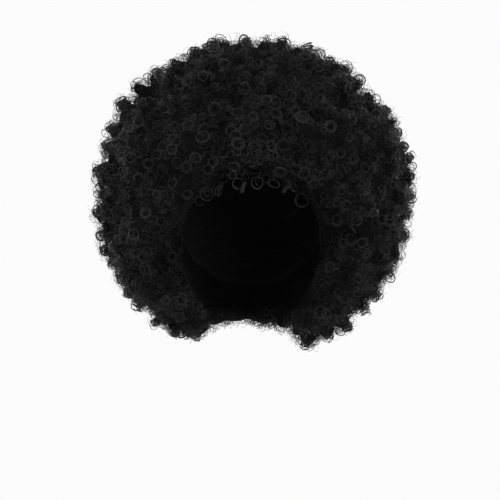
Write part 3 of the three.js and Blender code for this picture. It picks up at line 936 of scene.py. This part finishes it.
# Coils seen from the side at the edge: the middle's place, radius and length in millimetres, and how many
# degrees the axis turns from the viewer to the outside
edgeCoils = [
    (213, 43, 6, 7, 60), (206, 47, 4.5, 6, 70), (195, 51, 5.5, 7, 70), (158, 72, 5, 6, 50),
    (136, 85, 5.5, 7, 70), (121, 103, 6, 9, 75), (112, 129, 5.5, 8, 70), (106, 146, 5, 6, 80),
    (97, 170, 4.6, 5, 80), (97, 211, 5, 7, 70), (104, 250, 5, 9, 80), (114, 262, 5.5, 7, 75),
    (121, 279, 6, 9, 65), (129, 293, 6, 11, 80), (137, 305, 5.5, 9, 60), (155, 323, 4.6, 8, 70),
    (175, 332, 4.8, 8, 75), (196, 337, 4, 6, 60), (246, 41, 6, 6, 55), (283, 41, 5.4, 7, 40),
    (309, 47, 5.4, 7, 65), (330, 62, 6, 7, 60), (338, 66, 4.6, 6, 70), (385, 110, 5, 8, 70),
    (399, 134, 4.8, 6, 72), (404, 146, 5, 5, 74), (410, 157, 5, 9, 70), (409, 176, 5, 6, 75),
    (411, 197, 5.4, 6, 75), (408, 214, 6, 7, 75), (404, 236, 6, 8, 75), (395, 257, 5.5, 8, 65),
    (376, 296, 6, 9, 70), (365, 311, 6, 8, 65), (347, 327, 6, 9, 70), (329, 338, 5, 7, 60),
    (308, 343, 5.5, 7, 60),
]
edgeCoil = {
    "depth": 24,  # millimetres that one may lie nearer or farther than the hair's middle
    "astray": 0.15,
    "tip": 1,  # millimetres past its length
    "strands": (0.46, 0.4, 0.36, 0.3),  # radius in millimetres of each strand
    "pitch": 3.4,  # millimetres, for the first strand
    "pitchGain": 0.5,  # for each strand after it
    "radiusLoss": 0.09,
    "mostTurns": 4.5,
    "shrink": 0.86,
    "steps": 12,
}


# Each coil starts in the hair and is wound outward, of several strands side by side.
def makeEdgeCoils():
    paths = []
    for across, down, radius, length, lean in edgeCoils:
        aim = inThePicture(across, down, eitherWay(edgeCoil["depth"]) * mm)
        way = lineOfSight(across, down)[1]
        normal = hairSurface.find_nearest(aim)[1]
        outward = (normal - way * normal.dot(way)).normalized()
        turned = math.radians(lean)
        axis = outward * math.sin(turned) - way * math.cos(turned) + slightly(edgeCoil["astray"])
        axis.normalize()
        tip = aim + axis * (length / 2 + edgeCoil["tip"]) * mm
        base = aim - axis * length / 2 * mm
        near, normal, face, away = hairSurface.find_nearest(base)
        if normal.dot(base - near) > 0:
            base = near
        back = (base - tip).normalized()
        for copy, strand in enumerate(edgeCoil["strands"]):
            pitch = (edgeCoil["pitch"] + edgeCoil["pitchGain"] * copy) * mm
            turns = min(edgeCoil["mostTurns"], (tip - base).length / pitch)
            across = radius * (1 - edgeCoil["radiusLoss"] * copy) * mm
            coil = wound(base, back, across, turns, pitch, edgeCoil["shrink"], anyAngle(), edgeCoil["steps"])
            paths.append(([base - normal * placed["rootDepth"] * mm] + coil, strand * mm))
    strandPiece("ringlets_in_profile", paths, *hairNodes)


# Small curls crowded round each clump of the outline; lengths in millimetres
clumpCurl = {
    "count": 9,
    "out": 0.7,  # middle of the crowd, as a share of the clump's radius
    "spread": 0.9,
    "toFront": -0.5,
    "above": (-1.5, 1.6),
    "radius": (2.4, 4),
    "turns": (0.9, 1.7),
    "pitch": (0.8, 2.4),
    "shrink": 0.85,
    "strand": (0.24, 0.4),
    "steps": 9,
}


def makeClumpCurls():
    paths = []
    for place, size in clumpPlaces:
        outward = (place - view["centre"]).normalized() * size * clumpCurl["out"]
        for k in range(clumpCurl["count"]):
            aim = place + outward + slightly(size * clumpCurl["spread"])
            root, normal, face, away = hairSurface.find_nearest(aim)
            axis = (slightly(1) + Vector((0, clumpCurl["toFront"], 0))).normalized()
            centre = root + normal * chance.uniform(*clumpCurl["above"]) * mm
            radius, turns = chance.uniform(*clumpCurl["radius"]) * mm, chance.uniform(*clumpCurl["turns"])
            pitch, angle = chance.uniform(*clumpCurl["pitch"]) * mm, anyAngle()
            curl = wound(centre, axis, radius, turns, pitch, clumpCurl["shrink"], angle, clumpCurl["steps"])
            paths.append((curl, chance.uniform(*clumpCurl["strand"]) * mm))
    strandPiece("curls_round_the_outline", paths, *hairNodes)


makeFrontRings()
makeRingsAllRound()
makeEdgeLoops()
makeEdgeCoils()
makeClumpCurls()


# Ringlets over the forehead, close to it and rooted in the fringe
print("hairline")

# A row for each ringlet: its place across and down in the photograph, its radius and its gain per turn in
# millimetres, its turns, the last turn's share of the first, the way its axis points in degrees to the right
# of the viewer and up, its start angle, and the strand's radius in millimetres
hairline = [
    (207, 194, 6.2, 0.4, 2.2, 0.9, 6, -8, 80, 0.42),
    (207, 193.4, 3.4, 0.5, 2.1, 0.5, -8, -8, 140, 0.36),
    (217.5, 188.4, 6.6, 3.6, 2.6, 0.92, 70, -16, 100, 0.55),
    (206, 181, 4.8, 1.2, 2.4, 0.8, 20, 0, 60, 0.3),
    (232, 174, 5.2, 1.5, 3.2, 0.8, 44, -10, 60, 0.5),
    (220, 173, 4.6, 1.2, 2.4, 0.8, -20, 0, 60, 0.3),
    (238, 183, 5.5, 0.7, 2.6, 0.84, 24, -6, 100, 0.4),
    (257.5, 183, 5.6, 0.4, 2.2, 0.96, 10, 6, 80, 0.4),
    (257.5, 182, 4.4, 2.4, 1.2, 0.9, 64, 20, 60, 0.2),
    (266.5, 178, 4.8, 0.9, 2.4, 0.8, -20, 10, 90, 0.24),
    (273.5, 183, 5.6, 0.5, 2.2, 0.95, -30, -34, 90, 0.42),
    (273, 175, 4.2, 0.8, 2, 0.8, 24, 10, 90, 0.24),
    (288, 184, 4.8, 1.6, 3.4, 0.7, -44, 10, 120, 0.5),
    (295, 188, 4.2, 1.6, 2.4, 0.7, 44, 10, 120, 0.4),
    (301.5, 200.5, 6.3, 0.4, 1.9, 0.98, -6, 8, 150, 0.32),
    (199, 201, 4.6, 1.2, 1.8, 0.9, 20, 0, 60, 0.2),
    (247, 174, 4.6, 1.4, 1.6, 0.9, -30, 12, 80, 0.2),
    (310, 196, 4.6, 1.2, 2.2, 0.9, 15, 0, 110, 0.3),
]
hairlineRinglet = {
    "copies": 2,  # strands side by side
    "astray": 0.35 * mm,
    "radiusLoss": 0.05,
    "turnedOn": 9,  # degrees
    "secondStrand": 0.75,  # share of the first one's radius
}
# Strands over the forehead as places in the photograph, and the strand's radius: a wave between two
# ringlets, and a fine one astray
hairlineStrands = [
    ([(214, 184), (216, 181.5), (219, 180.6), (222, 181.8), (225, 182.4), (227, 181), (227.6, 178)], 0.5),
    ([(296.5, 200), (297, 208), (295.5, 212.5), (290, 216), (283, 217.5)], 0.12),
]
# Tight wound ends that hang over the forehead: from one place to another, and the radius in millimetres
hairlineTails = [((245, 182.5), (240.8, 192), 1.7), ((288.5, 183), (282.6, 192.5), 2.2)]
hairlineTail = {"turns": 6, "shrink": 0.85, "strand": 0.4, "steps": 12}
forehead = {
    "gap": 11 * mm,  # from the forehead forward to a ringlet's middle
    "least": 0.2,  # keeps a point near the head's edge from falling back round it
    "rounds": 3,
}
leads = {"steps": 6, "bow": 0.12}  # the bow as a share of the lead's length


# The point over the forehead that the photograph shows at a place.
def overForehead(across, down):
    start, way = lineOfSight(across, down)
    front = -head["length"] / 2
    for k in range(forehead["rounds"]):
        point = start + way * ((front - start.y) / way.y)
        rise = (point.z + head["crownRise"]) / head["crownRise"]
        flat = max(forehead["least"], 1 - (2 * point.x / head["breadth"]) ** 2 - rise ** 2)
        front = -head["length"] / 2 * math.sqrt(flat) - forehead["gap"]
    return point


# A strand from its root in the hair to a ringlet's first point, bowed as it goes.
def lead(first):
    root, normal, face, away = hairSurface.find_nearest(first)
    root = root - normal * placed["rootDepth"] * mm
    bow, steps = Vector((0, -leads["bow"] * (first - root).length, 0)), leads["steps"]
    return [root.lerp(first, k / steps) + bow * math.sin(math.pi * k / steps) for k in range(steps)]


# A ringlet of strands side by side, each with its lead.
def hairlineCoils(across, down, radius, pitch, turns, shrink, aside, up, start, strand):
    aside, up = math.radians(aside), math.radians(up)
    axis = Vector((math.sin(aside) * math.cos(up), -math.cos(aside) * math.cos(up), math.sin(up)))
    coils = []
    for copy in range(hairlineRinglet["copies"]):
        centre = overForehead(across, down) + slightly(hairlineRinglet["astray"])
        begin = centre + axis * pitch * mm * turns / 2
        reach = radius * (1 - hairlineRinglet["radiusLoss"] * copy) * mm
        angle = start + hairlineRinglet["turnedOn"] * copy
        coil = wound(begin, axis, reach, turns, pitch * mm, shrink, angle)
        coils.append((lead(coil[0]) + coil, strand * (hairlineRinglet["secondStrand"] if copy else 1) * mm))
    return coils


def makeHairline():
    paths = []
    for row in hairline:
        paths += hairlineCoils(*row)
    for places, strand in hairlineStrands:
        points = [overForehead(*place) for place in places]
        paths.append((lead(points[0]) + points, strand * mm))
    turns, shrink, strand, steps = hairlineTail.values()
    for start, end, radius in hairlineTails:
        top, tip = overForehead(*start), overForehead(*end)
        along, pitch = (top - tip).normalized(), (top - tip).length / turns
        for angle in (0, 180):
            tail = wound(top, along, radius * mm, turns, pitch, shrink, angle, steps)
            paths.append((lead(tail[0]) + tail, strand * mm))
    strandPiece("ringlets_hairline", paths, "hair_fringe")


makeHairline()


# The cap: a smooth stretch net, its edge turned over a narrow elastic
print("cap")

cap = {
    "wall": 1.5 * mm,
    "depth": 168 * mm,  # top of the head down to the edge at the nape
    "hem": 0.35,  # millimetres of elastic in the turned edge
    "hemEachWay": 0.6,  # share of it that stands out on either side of the wall
    "hemBreadth": 0.1,  # as an angle in radians
    "columns": 132,
    "rings": 26,
}
# The cap's edge: degrees from the front, and depth below the top as a share of the cap's depth
capEdge = [
    (0, 0.235), (28, 0.25), (48, 0.34), (60, 0.54), (68, 0.72), (78, 0.75),
    (90, 0.63), (104, 0.66), (126, 0.85), (152, 0.97), (180, 1.0),
]
net = {
    "shade": "#070707",
    "lit": "#131212",
    "stops": (0, 1),
    "roughness": 0.85,
    "gloss": 0.12,
    "cell": 1.3 * mm,
    "threads": (0.05, 0.2),  # from a thread's middle to its edge, in cells
    "weftRows": 11 * mm,  # between rows of sewn weft
    "weft": (0.82, 0.97),  # part of each wave between the rows that is weft
    "weftHeight": 3.0,  # in thread heights
    "relief": 0.35 * mm,
}


# The angle from straight up to the cap's edge, in a direction round the head where 0 is the front.
def edgePolar(azimuth):
    turn = math.degrees(azimuth) % 360
    turn = min(turn, 360 - turn)
    for (lowTurn, lowDepth), (highTurn, highDepth) in zip(capEdge, capEdge[1:]):
        if turn <= highTurn:
            t = (turn - lowTurn) / (highTurn - lowTurn)
            share = lowDepth + (highDepth - lowDepth) * t * t * (3 - 2 * t)
            break
    level = head["crownRise"] - cap["depth"] * share
    return math.acos(level / (head["crownRise"] if level > 0 else head["jawDrop"]))


# A point so far off the head form, by its direction round the head and its angle from straight up.
def headPoint(azimuth, polar, offset):
    down = head["crownRise"] if polar < math.pi / 2 else head["jawDrop"]
    flat = math.sin(polar)
    unit = Vector((flat * math.sin(azimuth), -flat * math.cos(azimuth), math.cos(polar)))
    half = Vector((head["breadth"] / 2, head["length"] / 2, down))
    normal = Vector(u / h for u, h in zip(unit, half)).normalized()
    return Vector(u * h for u, h in zip(unit, half)) + normal * offset - Vector((0, 0, head["crownRise"]))


# Knitted power net in black: matt, with a fine open mesh, and rows of weft stitched across it.
def stretchNet():
    material, tree, shader = fibreShader("power net, knitted and sewn with weft rows", net)
    place = addNode(tree, "ShaderNodeTexCoord")
    cells = addNode(tree, "ShaderNodeTexVoronoi", {"feature": "DISTANCE_TO_EDGE"}, {"Scale": 1 / net["cell"]},
                    {"Vector": (place, "Object")})
    middle, edge = net["threads"]
    threads = addNode(tree, "ShaderNodeMapRange",
                      values={"From Min": middle, "From Max": edge, "To Min": 1, "To Max": 0},
                      links={"Value": (cells, "Distance")})
    fromTop = addNode(tree, "ShaderNodeVectorMath", {"operation": "LENGTH"}, links={0: (place, "Object")})
    turns = addNode(tree, "ShaderNodeMath", {"operation": "MULTIPLY"}, {1: 2 * math.pi / net["weftRows"]},
                    {0: (fromTop, "Value")})
    wave = addNode(tree, "ShaderNodeMath", {"operation": "SINE"}, links={0: (turns, 0)})
    begins, whole = net["weft"]
    rows = addNode(tree, "ShaderNodeMapRange", values={"From Min": begins, "From Max": whole},
                   links={"Value": (wave, 0)})
    height = addNode(tree, "ShaderNodeMath", {"operation": "MULTIPLY_ADD"}, {1: net["weftHeight"]},
                     {0: (rows, 0), 2: (threads, 0)})
    bump = addNode(tree, "ShaderNodeBump", values={"Strength": 0.8, "Distance": net["relief"]},
                   links={"Height": (height, 0)})
    tree.links.new(bump.outputs["Normal"], shader.inputs["Normal"])
    shade = addNode(tree, "ShaderNodeMath", {"operation": "MAXIMUM"}, links={0: (rows, 0), 1: (threads, 0)})
    ramp = addNode(tree, "ShaderNodeValToRGB", links={"Fac": (shade, 0)})
    setTones(ramp, net, tree, shader)
    return material


# The cap's outside from the top down to its edge, and its inside back up again.
def makeCap():
    columns, count = cap["columns"], cap["rings"]
    outside = [(i, cap["wall"], 1) for i in range(1, count + 1)]
    inside = [(i, 0, -1) for i in range(count, 0, -1)]
    points = [headPoint(0, 0, cap["wall"])]
    for i, offset, outward in outside + inside:
        for j in range(columns):
            azimuth = 2 * math.pi * j / columns
            edge = edgePolar(azimuth)
            hem = smoothStep(cap["hemBreadth"], 0.0, (count - i) / count * edge) * cap["hem"] * mm
            points.append(headPoint(azimuth, edge * i / count, offset + outward * hem * cap["hemEachWay"]))
    points.append(headPoint(0, 0, 0))

    def at(ring, column):
        return 1 + ring * columns + column % columns

    last = len(outside + inside) - 1
    faces = []
    for j in range(columns):
        faces.append((0, at(0, j), at(0, j + 1)))
        for i in range(last):
            faces.append((at(i, j), at(i + 1, j), at(i + 1, j + 1), at(i, j + 1)))
        faces.append((at(last, j), len(points) - 1, at(last, j + 1)))
    piece = newObject("cap_net", meshFrom("cap_net", points, faces))
    piece.data.materials.append(stretchNet())
    finishPiece(piece, "cap", "cap")


makeCap()


# Fine hairs astray along the cap's front edge, from one ear tab over the forehead to the other
print("fine hairs")

# Lengths in millimetres
fineHair = {
    "count": 170,
    "toTheEar": 74,  # degrees from the front
    "inFromTheEdge": 0.07,  # at most, as an angle in radians
    "root": 1,
    "above": 2.6,
    "aboveMore": 5,  # at most
    "toFront": -0.6,
    "radius": (2.6, 5),
    "turns": (0.5, 1.1),
    "pitch": (0, 3),
    "shrink": 0.9,
    "strand": (0.14, 0.26),
    "steps": 9,
}


def makeFineHairs():
    paths = []
    for k in range(fineHair["count"]):
        azimuth = math.radians(fineHair["toTheEar"] * eitherWay(1))
        polar = edgePolar(azimuth) - chance.uniform(0.0, fineHair["inFromTheEdge"])
        root = headPoint(azimuth, polar, fineHair["root"] * mm)
        above = fineHair["above"] * mm + chance.uniform(0, fineHair["aboveMore"]) * mm
        tip = headPoint(azimuth, polar, above)
        axis = (slightly(1) + Vector((0, fineHair["toFront"], 0))).normalized()
        radius, turns = chance.uniform(*fineHair["radius"]) * mm, chance.uniform(*fineHair["turns"])
        pitch = chance.uniform(*fineHair["pitch"]) * mm
        curl = wound(tip, axis, radius, turns, pitch, fineHair["shrink"], anyAngle(), fineHair["steps"])
        paths.append(([root] + curl, chance.uniform(*fineHair["strand"]) * mm))
    strandPiece("fine_hairs_at_the_hairline", paths, "hair_fringe", "hair_left", "hair_right")


makeFineHairs()


# Remove the form that the clumps and strands were built on
bpy.data.objects.remove(hairForm)
